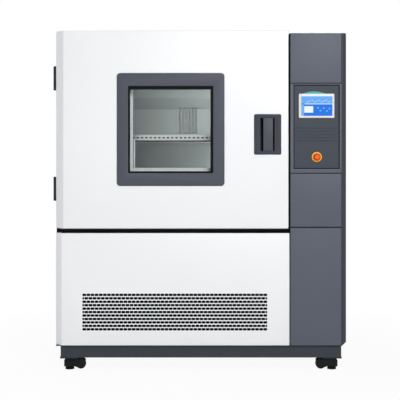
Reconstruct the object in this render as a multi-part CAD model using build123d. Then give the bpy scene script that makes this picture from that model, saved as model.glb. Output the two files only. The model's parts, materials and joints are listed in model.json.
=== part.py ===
from build123d import *
import os

# Overall size in millimetres: +Z up, front towards -Y, floor at Z = 0, origin under the middle
cabinet_width = 1440
cabinet_depth = 1030
cabinet_height = 1675
fitting_reach = 30

# Layers from the floor up
caster_height = 66
plinth_height = 60
pan_thickness = 3
panel_lift = 4
door_height = 977
door_rise = 10
door_gap = 23
deck_drop = 8

# Plinth
plinth_inset = 24
rail_width = 40
rail_wall = 4
rail_rear_gap = 4

# Layers from the front back
door_thickness = 80
gasket_gap = 10
rear_insulation = 100
plenum_depth = 120
rear_space = 120

# Control column and the gaps beside it
column_width = 281
door_side_gap = 7
panel_side_gap = 2
column_set_back = 3
corner_radius = 24
corner_cut = 22
corner_cut_depth = 67
seam = 2
top_cover_height = 251
control_height = 442
middle_cover_height = 269
cover_depth = 30

# Control panel
panel_inset_left = 16
panel_inset_right = 10
panel_inset_top = 6
panel_inset_bottom = 20
control_rise = 4
recess_depth = 5
plate_thickness = 3
screen_width = 176
screen_height = 120
screen_drop = 44
display_width = 154
display_height = 94
groove_pitch = 13
groove_count = 5
estop_up = 79
collar_height = 6
collar_radius = 25
button_travel = 4
button_radius = 18
button_stem_radius = 9
button_neck_radius = 5

# Chamber walls around the inner room
side_insulation = 126
top_insulation = 113
bottom_insulation = 114
liner_wall = 1.5
sheet = 2
cover_wall = 1.5
frame_wall = 5

# Door details
door_bevel = 40
lower_bevel = 32
door_plug = 30
plug_gap = 10
gasket_width = 24

# Window
window_width = 420
window_height = 430
window_border_x = 56
window_border_z = 64
window_corner = 17
frame_rise = 5
frame_sleeve = 12
glass_thickness = 6
seal_width = 8

# Handle
handle_width = 134
handle_height = 200
handle_margin = 36
handle_drop = 24
handle_rise = 4
pocket_width = 70
pocket_height = 164
pocket_depth = 34
pocket_offset = 31
finger_slot = 15
paddle_width = 47
pivot_radius = 3
pocket_wall = 2
case_half_width = 16
case_half_height = 12
case_overlap = 20
keeper_half_width = 18
keeper_half_height = 14
keeper_depth = 30

# Hinges
hinge_height = 120
hinge_inset = 182
hinge_pin_radius = 3
knuckle_radius = 8
hinge_reach = 11
leaf_length = 46
leaf_thickness = 4

# Fits
running = 0.05
clear = 0.3
knuckle_gap = 0.5

# Vent field of the lower panel
vent_pitch_x = 23
vent_pitch_z = 17
vent_slot_x = 17
vent_slot_z = 9
vent_rows = 11
vent_side_margin = 100
vent_bottom_margin = 74

# Levelling casters
caster_inset = 64
caster_front = 80
caster_rear = 50
wheel_radius = 25
wheel_lift = 2
wheel_width = 24
wheel_trail = 56
axle_radius = 4
pad_radius = 22
pad_thickness = 10
thumbwheel_radius = 20
stem_radius = 6
stem_height = 47
kingpin_radius = 10
housing_width = 52
housing_lift = 31
cheek_inset = 3
mount_thickness = 8

# Room fittings
shelf_front_gap = 60
shelf_rear_gap = 40
intake_pitch_x = 18
intake_pitch_z = 15
intake_columns = 6
intake_rows = 12
intake_hole = 9
intake_right = 82
intake_drop = 3
port_radius = 25
port_wall = 2

# Positions worked out from the sizes above
left_x = -cabinet_width / 2
right_x = cabinet_width / 2
front_y = -(cabinet_depth + fitting_reach) / 2
rear_y = front_y + cabinet_depth
body_y = front_y + door_thickness + gasket_gap
door_back_y = front_y + door_thickness
column_x = right_x - column_width
column_y = front_y + column_set_back
column_front_x = (column_x + seam, right_x - corner_radius - 1)
control_top = cabinet_height - top_cover_height
control_bottom = control_top - control_height
door_right = column_x - door_side_gap
panel_right = column_x - panel_side_gap
plinth_top = caster_height + plinth_height
body_bottom = plinth_top + pan_thickness
panel_bottom = plinth_top + panel_lift
door_top = cabinet_height + door_rise
door_bottom = door_top - door_height
panel_top = door_bottom - door_gap
deck_top = door_bottom - deck_drop
door_mid_x = (left_x + door_right) / 2
door_mid_z = (door_top + door_bottom) / 2
chamber_left = left_x + side_insulation
chamber_right = door_right - side_insulation
chamber_bottom = door_bottom + bottom_insulation
chamber_top = door_top - top_insulation
liner_back = rear_y - rear_space - rear_insulation
duct_y = liner_back - plenum_depth
shelf_z = chamber_bottom + 344
shelf_front = door_back_y + door_plug + shelf_front_gap
shelf_rear = duct_y - shelf_rear_gap
window_x = door_mid_x - 6
handle_x = door_right - handle_margin - handle_width / 2
handle_z = door_mid_z - handle_drop
pocket_right = handle_x - handle_width / 2 + pocket_offset + pocket_width
pocket_left = pocket_right - pocket_width
hinge_x = left_x - hinge_reach
hinge_y = (door_back_y + body_y) / 2
tongue_x = pocket_right + 22
fan_z = chamber_bottom + 460
fan_x = door_mid_x
port_y = body_y + 330
port_z = chamber_bottom + 400


def slab(x, y, z):
    """A block between the low and high values of each axis."""
    limits = (x, y, z)
    size = [high - low for low, high in limits]
    centre = [(high + low) / 2 for low, high in limits]
    return Pos(*centre) * Box(*size)


def facing_front(x, y, z):
    return Plane(origin=(x, y, z), x_dir=(1, 0, 0), z_dir=(0, -1, 0))


def facing_right(x, y, z):
    return Plane(origin=(x, y, z), x_dir=(0, 1, 0), z_dir=(1, 0, 0))


def outline(*points):
    return make_face(Polyline(*points, close=True))


def rod(radius, start, direction, length):
    plane = Plane(origin=start, z_dir=direction)
    return extrude(plane * Circle(radius), amount=length)


def save(name, *pieces):
    solids = [solid for piece in pieces for solid in piece.solids()]
    export_step(Compound(solids), f"parts/{name}.step")


def cover(x, z, y_front, depth, bevel=2):
    """A sheet-metal cover: a front plate with folded sides, open at the back."""
    body = slab(x, (y_front, y_front + depth), z)
    body = chamfer(body.faces().sort_by(Axis.Y)[0].edges(), bevel)
    hollow_x = (x[0] + cover_wall, x[1] - cover_wall)
    hollow_z = (z[0] + cover_wall, z[1] - cover_wall)
    return body - slab(hollow_x, (y_front + bevel, y_front + depth), hollow_z)


def channel_rail(x, outer_y, inward):
    """Web and two flanges of a C rail along the plinth's front or back."""
    inner_y = outer_y + inward * rail_width
    web_y = outer_y + inward * rail_wall
    return [
        slab(x, sorted((outer_y, web_y)), (caster_height, plinth_top)),
        slab(x, sorted((web_y, inner_y)), (caster_height, caster_height + rail_wall)),
        slab(x, sorted((web_y, inner_y)), (plinth_top - rail_wall, plinth_top)),
    ]


def tube_rail(low_x, low_y, high_y):
    """Rectangular tube with open ends, running front to back."""
    w = rail_wall
    outer = slab((low_x, low_x + rail_width), (low_y, high_y), (caster_height, plinth_top))
    hollow_x = (low_x + w, low_x + rail_width - w)
    return outer - slab(hollow_x, (low_y - 1, high_y + 1), (caster_height + w, plinth_top - w))


def caster_places():
    """Swivel axis of each caster, and the side its wheel lies on."""
    return {
        "front_left": (left_x + caster_inset, front_y + caster_front, 1),
        "front_right": (right_x - caster_inset, front_y + caster_front, -1),
        "rear_left": (left_x + caster_inset, rear_y - caster_rear, 1),
        "rear_right": (right_x - caster_inset, rear_y - caster_rear, -1),
    }


def base_frame():
    """Welded plinth: channel rails, tubes between them, floor pan and caster plates."""
    low_x = left_x + plinth_inset
    high_x = right_x - plinth_inset
    low_y = front_y + plinth_inset
    high_y = rear_y - rail_rear_gap
    third = (high_x - low_x) / 3
    pieces = channel_rail((low_x, high_x), low_y, 1) + channel_rail((low_x, high_x), high_y, -1)
    tube_y = (low_y + rail_width, high_y - rail_width)
    for x in (low_x, low_x + third, high_x - third - rail_width, high_x - rail_width):
        pieces.append(tube_rail(x, *tube_y))
    pan = slab(
        (left_x + sheet, right_x - sheet),
        (front_y + 10, rear_y - sheet),
        (plinth_top, body_bottom),
    )
    pieces.append(pan - corner_wedge())
    for x, y, _ in caster_places().values():
        plate = slab((x - 45, x + 45), (y - 40, y + 40), (caster_height - mount_thickness, caster_height))
        hole = rod(kingpin_radius + running, (x, y, 0), (0, 0, 1), caster_height + 1)
        pieces.append(plate - hole)
    return pieces


def corner_wedge():
    """Block beyond the cut across the column's lower front corner."""
    corner = (right_x - corner_cut, column_y, body_bottom)
    outwards = (corner_cut_depth, -corner_cut, -corner_cut_depth)
    return extrude(Plane(origin=corner, z_dir=outwards) * Rectangle(200, 200), amount=100)


def post(x, y, z):
    size = 40
    wall = 3
    outer = slab((x, x + size), (y, y + size), z)
    hollow_x = (x + wall, x + size - wall)
    hollow_y = (y + wall, y + size - wall)
    return outer - slab(hollow_x, hollow_y, (z[0] - 1, z[1] + 1))


def cabinet_frame():
    """Deck under the chamber with its front and rear lips, and six posts."""
    wall = 4
    lip = 36
    x = (left_x + sheet, column_x)
    front = body_y + sheet
    rear = rear_y - sheet
    lip_z = (deck_top - lip, deck_top)
    pieces = [
        slab(x, (front, front + wall), lip_z),
        slab(x, (rear - wall, rear), lip_z),
        slab(x, (front + wall, rear - wall), (deck_top - wall, deck_top)),
    ]
    under_deck = (body_bottom, deck_top - lip)
    for x in (left_x + sheet, column_x - 40):
        for y in (body_y + sheet, rear_y - sheet - 40):
            pieces.append(post(x, y, under_deck))
    tall = (body_bottom, cabinet_height - sheet)
    for y in (body_y + sheet + 40, rear_y - sheet - 40):
        pieces.append(post(right_x - sheet - 40, y, tall))
    return pieces


def left_side_panel():
    panel = slab((left_x, left_x + sheet), (body_y, rear_y), (body_bottom, cabinet_height - sheet))
    port = rod(port_radius + port_wall, (left_x - 1, port_y, port_z), (1, 0, 0), sheet + 2)
    return panel - port


def right_side_panel():
    """Side sheet whose front edge is rolled round the column's corner."""
    roll_x = right_x - corner_radius
    roll_y = column_y + corner_radius
    inner_x = right_x - sheet
    edge = Line((roll_x, column_y), (roll_x, column_y + sheet))
    inner = TangentArc((roll_x, column_y + sheet), (inner_x, roll_y), tangent=(1, 0))
    back = Polyline((inner_x, roll_y), (inner_x, rear_y), (right_x, rear_y), (right_x, roll_y))
    outer = TangentArc((roll_x, column_y), (right_x, roll_y), tangent=(1, 0))
    section = make_face(edge + inner + back + outer)
    height = cabinet_height - sheet - body_bottom
    return extrude(Plane.XY.offset(body_bottom) * section, amount=height) - corner_wedge()


def top_panel():
    section = outline(
        (left_x, body_y),
        (column_x, body_y),
        (column_x, column_y),
        (right_x - corner_radius, column_y),
        (right_x, column_y + corner_radius),
        (right_x, rear_y),
        (left_x, rear_y),
    )
    return extrude(Plane.XY.offset(cabinet_height - sheet) * section, amount=sheet)


def rear_panel():
    plate = slab(
        (left_x + sheet, right_x - sheet),
        (rear_y - sheet, rear_y),
        (body_bottom, cabinet_height - sheet),
    )
    return plate - slab(rear_grille_x(), (rear_y - 10, rear_y + 10), rear_grille_z())


def rear_grille_x():
    return (left_x + 150, column_x - 250)


def rear_grille_z():
    return (body_bottom + 150, deck_top - 130)


def rear_grille():
    """Louvred intake: a frame with sloping blades."""
    x = rear_grille_x()
    z = rear_grille_z()
    border = 20
    wall = 10
    frame = slab(x, (rear_y - wall, rear_y), z)
    inside_x = (x[0] + border, x[1] - border)
    frame -= slab(inside_x, (rear_y - wall - 1, rear_y + 1), (z[0] + border, z[1] - border))
    pitch = 24
    count = int((z[1] - z[0] - 2 * border) // pitch)
    pieces = frame
    for index in range(count):
        low = z[0] + border + pitch * (index + 0.2)
        blade = outline((-wall, low + 12), (-wall + 1.5, low + 12), (0, low), (-1.5, low))
        pieces += extrude(facing_right(inside_x[0], rear_y, 0) * blade, amount=inside_x[1] - inside_x[0])
    return pieces


def vent_centres():
    flat_left = left_x + lower_bevel
    columns = int((panel_right - flat_left - 2 * vent_side_margin) // vent_pitch_x)
    middle = (flat_left + panel_right) / 2
    start = middle - (columns - 1) * vent_pitch_x / 2
    places = []
    for row in range(vent_rows):
        shift = vent_pitch_x / 4 if row % 2 else -vent_pitch_x / 4
        z = panel_bottom + vent_bottom_margin + row * vent_pitch_z
        for column in range(columns):
            places.append((start + column * vent_pitch_x + shift, z))
    return places


def bevelled_plan(right, bevel, back, wall=0):
    """Plan of a front with a bevelled left edge; wall moves it inwards."""
    slope = wall * 0.414
    return outline(
        (left_x + bevel + slope, front_y + wall),
        (right - wall, front_y + wall),
        (right - wall, back),
        (left_x + wall, back),
        (left_x + wall, front_y + bevel + slope),
    )


def bevelled_pan(right, bevel, back, z):
    outer = extrude(Plane.XY.offset(z[0]) * bevelled_plan(right, bevel, back), amount=z[1] - z[0])
    inner = bevelled_plan(right, bevel, back + 1, sheet)
    hollow_height = z[1] - z[0] - 2 * sheet
    return outer - extrude(Plane.XY.offset(z[0] + sheet) * inner, amount=hollow_height)


def lower_front_panel():
    pan = bevelled_pan(panel_right, lower_bevel, body_y, (panel_bottom, panel_top))
    slots = Sketch() + [Pos(x, z) * Rectangle(vent_slot_x, vent_slot_z) for x, z in vent_centres()]
    return pan - extrude(facing_front(0, front_y + sheet + 1, 0) * slots, amount=sheet + 2)


def intake_filter():
    places = vent_centres()
    low_x = min(x for x, z in places) - 30
    high_x = max(x for x, z in places) + 30
    low_z = min(z for x, z in places) - 20
    high_z = max(z for x, z in places) + 20
    return slab((low_x, high_x), (front_y + sheet, front_y + sheet + 12), (low_z, high_z))


def column_covers():
    middle_bottom = control_bottom - middle_cover_height
    return [
        cover(column_front_x, (control_top + seam, cabinet_height - sheet), column_y, cover_depth),
        cover(column_front_x, (middle_bottom + seam, control_bottom - seam), column_y, cover_depth),
        cover(column_front_x, (body_bottom + 1, middle_bottom - seam), column_y, cover_depth),
    ]


def column_partition():
    """Wall between the column and the chamber."""
    z = (body_bottom, cabinet_height - sheet)
    return slab((column_x, column_x + sheet), (column_y, rear_y - sheet), z)


def recess_x():
    return (column_front_x[0] + panel_inset_left, column_front_x[1] - panel_inset_right)


def recess_z():
    return (control_bottom + panel_inset_bottom, control_top - panel_inset_top)


def control_panel_frame():
    """Raised frame of the control panel, open at the back."""
    front = column_y - control_rise
    back = column_y + cover_depth
    frame = slab(column_front_x, (front, back), (control_bottom, control_top))
    frame = chamfer(frame.faces().sort_by(Axis.Y)[0].edges(), 2)
    back_x = (column_front_x[0] + cover_wall, column_front_x[1] - cover_wall)
    back_z = (control_bottom + cover_wall, control_top - cover_wall)
    frame -= slab(back_x, (column_y + recess_depth, back + 1), back_z)
    return frame - slab(recess_x(), (front - 1, back), recess_z())


def screen_middle():
    x = (recess_x()[0] + recess_x()[1]) / 2
    return x, recess_z()[1] - screen_drop - screen_height / 2


def estop_middle():
    return screen_middle()[0] + 1, control_bottom + estop_up


def plate_front():
    return column_y + recess_depth - plate_thickness


def control_panel_plate():
    """Plate with the screen's cut-out, the button's hole and a field of grooves."""
    y = plate_front()
    through = (y - 1, y + plate_thickness + 1)
    plate = slab(recess_x(), (y, y + plate_thickness), recess_z())
    x, z = screen_middle()
    half_x = display_width / 2 + 3
    half_z = display_height / 2 + 5
    plate -= slab((x - half_x, x + half_x), through, (z - half_z, z + half_z))
    button_x, button_z = estop_middle()
    plate -= rod(11, (button_x, through[0], button_z), (0, 1, 0), plate_thickness + 2)
    half_groove = screen_width / 2 - 1
    for index in range(groove_count):
        low = z - screen_height / 2 - 54 - groove_pitch * index
        plate -= slab((x - half_groove, x + half_groove), (y - 1, y + 1), (low, low + 4))
    return plate


def touch_screen():
    """Bezel with the case behind it, and the display set into the bezel."""
    x, z = screen_middle()
    y = plate_front()
    display_x = (x - display_width / 2, x + display_width / 2)
    display_z = (z - display_height / 2, z + display_height / 2)
    bezel = extrude(facing_front(x, y, z) * RectangleRounded(screen_width, screen_height, 5), amount=5)
    bezel = chamfer(bezel.faces().sort_by(Axis.Y)[0].edges(), 1.5)
    bezel -= slab(display_x, (y - 10, y - 2), display_z)
    case_x = (display_x[0] - 1, display_x[1] + 1)
    case_z = (display_z[0] - 3, display_z[1] + 3)
    case = slab(case_x, (y, y + 35), case_z)
    return [bezel + case, slab(display_x, (y - 3.2, y - 2), display_z)]


def turned(profile, x, y, z):
    """Solid of revolution about an axis that points out of the front."""
    shape = revolve(Plane.XZ * outline(*profile), axis=Axis.Z)
    return Plane(origin=(x, y, z), x_dir=(1, 0, 0), z_dir=(0, -1, 0)) * shape


def estop_collar():
    """Sloping collar with the bush that passes through the plate."""
    x, z = estop_middle()
    bore = button_stem_radius + running
    bush = button_stem_radius + 1.5
    rim = (collar_radius, 0)
    top = (collar_radius - 2, collar_height)
    profile = ((bore, -20), (bush, -20), (bush, 0), rim, top, (bore, collar_height))
    return turned(profile, x, plate_front(), z)


def estop_stem():
    x, z = estop_middle()
    wide = button_stem_radius
    neck = button_neck_radius
    profile = ((0, -24), (wide, -24), (wide, 8), (neck, 8), (neck, 16), (0, 16))
    return turned(profile, x, plate_front(), z)


def estop_head():
    """Mushroom head, bored for the neck of the stem."""
    x, z = estop_middle()
    low = collar_height + button_travel + clear
    bore = button_neck_radius + running
    bore_top = 16 + clear
    rim = button_radius
    profile = (
        (bore, low),
        (rim, low),
        (rim, low + 9),
        (rim - 5, low + 14),
        (0, low + 14),
        (0, bore_top),
        (bore, bore_top),
    )
    return turned(profile, x, plate_front(), z)


def inner_liner():
    left = chamber_left
    right = chamber_right
    low = chamber_bottom
    high = chamber_top
    w = liner_wall
    y = (body_y + sheet, liner_back + w)
    port = rod(port_radius + port_wall, (left - 20, port_y, port_z), (1, 0, 0), 40)
    shaft = rod(14, (fan_x, liner_back - 10, fan_z), (0, 1, 0), 30)
    return [
        slab((left - w, left), y, (low - w, high + w)) - port,
        slab((right, right + w), y, (low - w, high + w)),
        slab((left, right), y, (low - w, low)),
        slab((left, right), y, (high, high + w)),
        slab((left, right), (liner_back, liner_back + w), (low, high)) - shaft,
    ]


def insulation():
    w = liner_wall
    block = slab(
        (left_x + sheet, column_x),
        (body_y + sheet, liner_back + rear_insulation),
        (deck_top, cabinet_height - sheet),
    )
    block -= slab(
        (chamber_left - w, chamber_right + w),
        (body_y, liner_back + w),
        (chamber_bottom - w, chamber_top + w),
    )
    block -= rod(port_radius + port_wall, (left_x - 10, port_y, port_z), (1, 0, 0), side_insulation + 10)
    keeper_x, keeper_z = keeper_span()
    block -= slab(keeper_x, (body_y, body_y + keeper_depth), keeper_z)
    return block - rod(14, (fan_x, liner_back, fan_z), (0, 1, 0), rear_insulation + 10)


def keeper_span():
    x = (tongue_x - keeper_half_width, tongue_x + keeper_half_width)
    z = (handle_z - keeper_half_height, handle_z + keeper_half_height)
    return x, z


def front_trim():
    """Strips round the opening that the gasket closes on, broken at the latch keeper."""
    y = (body_y, body_y + sheet)
    low_x = left_x + sheet
    keeper_x, keeper_z = keeper_span()
    return [
        slab((low_x, chamber_left), y, (chamber_bottom, chamber_top)),
        slab((chamber_right, column_x), y, (chamber_bottom, keeper_z[0])),
        slab((chamber_right, column_x), y, (keeper_z[1], chamber_top)),
        slab((chamber_right, keeper_x[0]), y, keeper_z),
        slab((keeper_x[1], column_x), y, keeper_z),
        slab((low_x, column_x), y, (deck_top, chamber_bottom)),
        slab((low_x, column_x), y, (chamber_top, cabinet_height - sheet)),
    ]


def latch_keeper():
    """Lined pocket that the latch tongue enters."""
    wall = 2
    x, z = keeper_span()
    back = body_y + keeper_depth
    outer = slab(x, (body_y, back), z)
    hollow = slab((x[0] + wall, x[1] - wall), (body_y - 1, back - wall), (z[0] + wall, z[1] - wall))
    return outer - hollow


def hinge_middles():
    return (door_bottom + hinge_inset + 12, door_top - hinge_inset - 48)


def knuckle_root(y, z):
    """Web that carries a knuckle out from its leaf."""
    return slab((hinge_x, left_x), y, z)


def hinge_cabinet_leaves():
    pieces = []
    leaf_x = (left_x - leaf_thickness, left_x)
    leaf_low = body_y + 1
    for middle in hinge_middles():
        low = middle - hinge_height / 2
        high = middle + hinge_height / 2
        knuckle_top = middle - knuckle_gap / 2
        leaf = slab(leaf_x, (leaf_low, leaf_low + leaf_length), (low, high))
        root = knuckle_root((hinge_y, leaf_low + leaf_thickness), (low, knuckle_top))
        knuckle = rod(knuckle_radius, (hinge_x, hinge_y, low), (0, 0, 1), knuckle_top - low)
        pin = rod(hinge_pin_radius, (hinge_x, hinge_y, low), (0, 0, 1), hinge_height - 6)
        pieces.append(leaf + root + knuckle + pin)
    return pieces


def hinge_door_leaves():
    pieces = []
    leaf_x = (left_x - leaf_thickness, left_x)
    leaf_high = door_back_y - 1
    leaf_low = leaf_high - leaf_length + 10
    for middle in hinge_middles():
        low = middle - hinge_height / 2
        high = middle + hinge_height / 2
        knuckle_low = middle + knuckle_gap / 2
        leaf = slab(leaf_x, (leaf_low, leaf_high), (low, high))
        root = knuckle_root((leaf_high - leaf_thickness, hinge_y), (knuckle_low, high))
        knuckle = rod(knuckle_radius, (hinge_x, hinge_y, knuckle_low), (0, 0, 1), high - knuckle_low)
        bore = rod(hinge_pin_radius + running, (hinge_x, hinge_y, knuckle_low - 1), (0, 0, 1), hinge_height / 2 - 4)
        pieces.append(leaf + root + knuckle - bore)
    return pieces


def window_block(y, extra):
    return slab(
        (window_x - window_width / 2 - extra, window_x + window_width / 2 + extra),
        y,
        (door_mid_z - window_height / 2 - extra, door_mid_z + window_height / 2 + extra),
    )


def handle_body(y, extra_x, extra_z):
    return slab(
        (pocket_left - extra_x, pocket_right + extra_x),
        y,
        (handle_z - pocket_height / 2 - extra_z, handle_z + pocket_height / 2 + extra_z),
    )


def latch_case_block(y, extra):
    return slab(
        (pocket_right - case_overlap - extra, tongue_x + case_half_width + extra),
        y,
        (handle_z - case_half_height - extra, handle_z + case_half_height + extra),
    )


def door_outer_skin():
    pan = bevelled_pan(door_right, door_bevel, door_back_y, (door_bottom, door_top))
    front = (front_y - 1, front_y + sheet + 1)
    pan -= window_block(front, frame_wall)
    return pan - handle_body(front, pocket_wall, pocket_wall)


def door_inner_skin():
    back = (door_back_y - sheet, door_back_y)
    plate = slab((left_x + sheet, door_right - sheet), back, (door_bottom + sheet, door_top - sheet))
    plug_x = (chamber_left + plug_gap, chamber_right - plug_gap)
    plug_z = (chamber_bottom + plug_gap, chamber_top - plug_gap)
    plug = slab(plug_x, (door_back_y, door_back_y + door_plug), plug_z)
    plug = chamfer(plug.faces().sort_by(Axis.Y)[-1].edges(), 8)
    hollow = slab(
        (plug_x[0] + 2 * sheet, plug_x[1] - 2 * sheet),
        (door_back_y - sheet - 1, door_back_y + door_plug - 9),
        (plug_z[0] + 2 * sheet, plug_z[1] - 2 * sheet),
    )
    skin = plate + plug - hollow
    skin -= window_block((door_back_y - 10, door_back_y + door_plug + 1), frame_wall)
    return skin - latch_case_block((door_back_y - 10, door_back_y + 1), -2)


def door_core():
    inner = bevelled_plan(door_right, door_bevel, door_back_y - sheet, sheet)
    core = extrude(Plane.XY.offset(door_bottom + sheet) * inner, amount=door_height - 2 * sheet)
    core -= window_block((front_y, door_back_y), frame_wall)
    core -= handle_body((front_y, front_y + pocket_depth + pocket_wall), pocket_wall, pocket_wall)
    return core - latch_case_block((front_y + pocket_depth, door_back_y), 0)


def window_frame():
    """Front flange with a sleeve that reaches into the door skin."""
    width = window_width + 2 * window_border_x
    height = window_height + 2 * window_border_z
    plane = facing_front(window_x, front_y, door_mid_z)
    flange = extrude(plane * RectangleRounded(width, height, window_corner), amount=frame_rise)
    flange = chamfer(flange.faces().sort_by(Axis.Y)[0].edges(), 2)
    sleeve = window_block((front_y, front_y + frame_sleeve), frame_wall)
    return flange + sleeve - window_block((front_y - 10, front_y + frame_sleeve + 1), 0)


def window_seal():
    """Glazing rubber in front of the outer pane."""
    low = front_y + frame_sleeve - 4 - clear
    ring = window_block((low, front_y + frame_sleeve), 0)
    return ring - window_block((low - 1, front_y + frame_sleeve + 1), -seal_width)


def window_glass():
    sleeve_back = front_y + frame_sleeve
    inner_back = door_back_y + door_plug - 2
    outer_pane = window_block((sleeve_back, sleeve_back + glass_thickness), 0)
    middle_pane = window_block((door_back_y - 40, door_back_y - 40 + glass_thickness), 0)
    inner_pane = window_block((inner_back - glass_thickness, inner_back), 0)
    return [outer_pane, middle_pane, inner_pane]


def window_tunnel():
    """Metal lining between the panes."""
    y = (front_y + frame_sleeve, door_back_y + door_plug)
    return window_block(y, frame_wall) - window_block((y[0] - 1, y[1] + 1), 0)


def door_gasket():
    y = (door_back_y, body_y - clear)
    outer = slab(
        (chamber_left - gasket_width - 8, chamber_right + gasket_width + 8),
        y,
        (chamber_bottom - gasket_width - 8, chamber_top + gasket_width + 8),
    )
    inner = slab(
        (chamber_left - 8, chamber_right + 8),
        (y[0] - 1, y[1] + 1),
        (chamber_bottom - 8, chamber_top + 8),
    )
    return outer - inner


def handle_housing():
    plane = facing_front(handle_x, front_y, handle_z)
    plate = extrude(plane * RectangleRounded(handle_width, handle_height, 7), amount=handle_rise)
    plate = chamfer(plate.faces().sort_by(Axis.Y)[0].edges(), 1.5)
    plate += handle_body((front_y, front_y + pocket_depth + pocket_wall), pocket_wall, pocket_wall)
    plate -= handle_body((front_y - 10, front_y + pocket_depth), 0, 0)
    bore_length = pocket_height + 2 * pocket_wall + 2
    plate -= rod(pivot_radius + running, pivot_base(-pocket_wall - 1), (0, 0, 1), bore_length)
    case = latch_case_block((front_y + pocket_depth + pocket_wall, door_back_y - sheet), 0)
    case -= latch_case_block((front_y + pocket_depth, door_back_y), -2)
    return plate + case


def pivot_base(drop):
    pivot_x = pocket_left + finger_slot + paddle_width - 5
    return (pivot_x, front_y + 6, handle_z - pocket_height / 2 + drop)


def handle_paddle():
    """Bent plate with a rolled grip on its free edge, and its pivot pin."""
    low_x = pocket_left + finger_slot
    high_x = low_x + paddle_width
    face = front_y - 2
    section = outline(
        (low_x, face),
        (high_x, face),
        (high_x, face + 5),
        (high_x - 1, face + 12),
        (high_x - 9, face + 12),
        (high_x - 11, face + 5),
        (low_x + 6, face + 5),
        (low_x + 6, face + 14),
        (low_x, face + 14),
    )
    plate_height = pocket_height - 2
    blade = extrude(Plane.XY.offset(handle_z - plate_height / 2) * section, amount=plate_height)
    x, y, z = pivot_base(-pocket_wall + 0.2)
    return blade + rod(pivot_radius, (x, y, z), (0, 0, 1), pocket_height + 2 * pocket_wall - 0.4)


def latch_tongue():
    """Hook that the paddle draws sideways."""
    section = outline(
        (tongue_x - 3, front_y + pocket_depth + 4),
        (tongue_x + 3, front_y + pocket_depth + 4),
        (tongue_x + 3, body_y + 14),
        (tongue_x + 11, body_y + 14),
        (tongue_x + 8, body_y + 24),
        (tongue_x - 3, body_y + 24),
    )
    half = case_half_height - 2 - clear
    return extrude(Plane.XY.offset(handle_z - half) * section, amount=2 * half)


def duct_plate():
    """Back wall of the room: upright plate, forward cowl at its top, perforated intake."""
    low = chamber_bottom
    cowl = chamber_bottom + 565
    section = outline(
        (0, low),
        (0, cowl - 60),
        (-60, cowl),
        (-60, cowl + 60),
        (-58, cowl + 60),
        (-58, cowl + 1),
        (2, cowl - 59),
        (2, low),
    )
    plate = extrude(facing_right(chamber_left, duct_y, 0) * section, amount=chamber_right - chamber_left)
    low_x = fan_x + intake_right - (intake_columns - 1) * intake_pitch_x / 2
    low_z = fan_z - intake_drop - (intake_rows - 1) * intake_pitch_z / 2
    holes = Sketch() + [
        Pos(low_x + column * intake_pitch_x, low_z + row * intake_pitch_z) * Rectangle(intake_hole, intake_hole)
        for column in range(intake_columns)
        for row in range(intake_rows)
    ]
    return plate - extrude(facing_front(0, duct_y + 10, 0) * holes, amount=20)


def shelf_rails():
    pieces = []
    for wall, inward in ((chamber_left, 1), (chamber_right, -1)):
        for z in (shelf_z - 180, shelf_z):
            low = z - 30
            ledge = outline(
                (0, low),
                (0, low + 28),
                (inward * 3, low + 28),
                (inward * 3, low + 3),
                (inward * 22, low + 3),
                (inward * 22, low),
            )
            run = duct_y - 30 - body_y - 60
            pieces.append(extrude(facing_front(wall, duct_y - 30, 0) * ledge, amount=run))
    return pieces


def plain_shelf():
    low_x = chamber_left + 4
    high_x = chamber_right - 4
    low = shelf_z - 27
    top = low + 35
    section = outline(
        (shelf_front, top),
        (shelf_rear, top),
        (shelf_rear, low),
        (shelf_rear - sheet, low),
        (shelf_rear - sheet, top - sheet),
        (shelf_front + sheet, top - sheet),
        (shelf_front + sheet, low),
        (shelf_front, low),
    )
    return extrude(facing_right(low_x, 0, 0) * section, amount=high_x - low_x)


def shelf():
    body = plain_shelf()
    middle = (chamber_left + chamber_right) / 2
    slot_run = (shelf_rear - shelf_front - 30) / 5
    tools = Sketch() + [
        Pos(middle + 44 * (column - 9), (shelf_front + shelf_rear) / 2 + slot_run * (row - 2))
        * Rectangle(12, slot_run - 20)
        for column in range(19)
        for row in range(5)
    ]
    body -= extrude(Plane.XY.offset(shelf_z - 5) * tools, amount=30)
    slots = Sketch() + [
        Pos(middle + 22 * (column - 18), shelf_z - 27 + 20) * Rectangle(12, 7)
        for column in range(37)
    ]
    return body - extrude(facing_front(0, shelf_front + 5, 0) * slots, amount=10)


def cable_port():
    tube = rod(port_radius + port_wall, (left_x - 3, port_y, port_z), (1, 0, 0), side_insulation + 3)
    flange = rod(port_radius + 14, (left_x - 3, port_y, port_z), (1, 0, 0), 3)
    return tube + flange - rod(port_radius, (left_x - 10, port_y, port_z), (1, 0, 0), side_insulation + 20)


def port_plug():
    cap = rod(port_radius + 6, (left_x - 3 - clear - 10, port_y, port_z), (1, 0, 0), 10)
    cap = chamfer(cap.faces().sort_by(Axis.X)[0].edges(), 2)
    return cap + rod(port_radius - clear, (left_x - 3 - clear, port_y, port_z), (1, 0, 0), 60)


def circulation_fan():
    """Centrifugal wheel: back disc, straight blades, hub and shaft."""
    y = liner_back - 60
    wheel = rod(110, (fan_x, y + 40, fan_z), (0, 1, 0), 3)
    wheel += rod(18, (fan_x, y + 10, fan_z), (0, 1, 0), 30)
    blade = slab((fan_x + 60, fan_x + 108), (y, y + 40), (fan_z - 1.5, fan_z + 1.5))
    for index in range(10):
        wheel += blade.rotate(Axis((fan_x, y, fan_z), (0, 1, 0)), 36 * index)
    return wheel + rod(8, (fan_x, y + 10, fan_z), (0, 1, 0), 60 + rear_insulation + 10)


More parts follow.
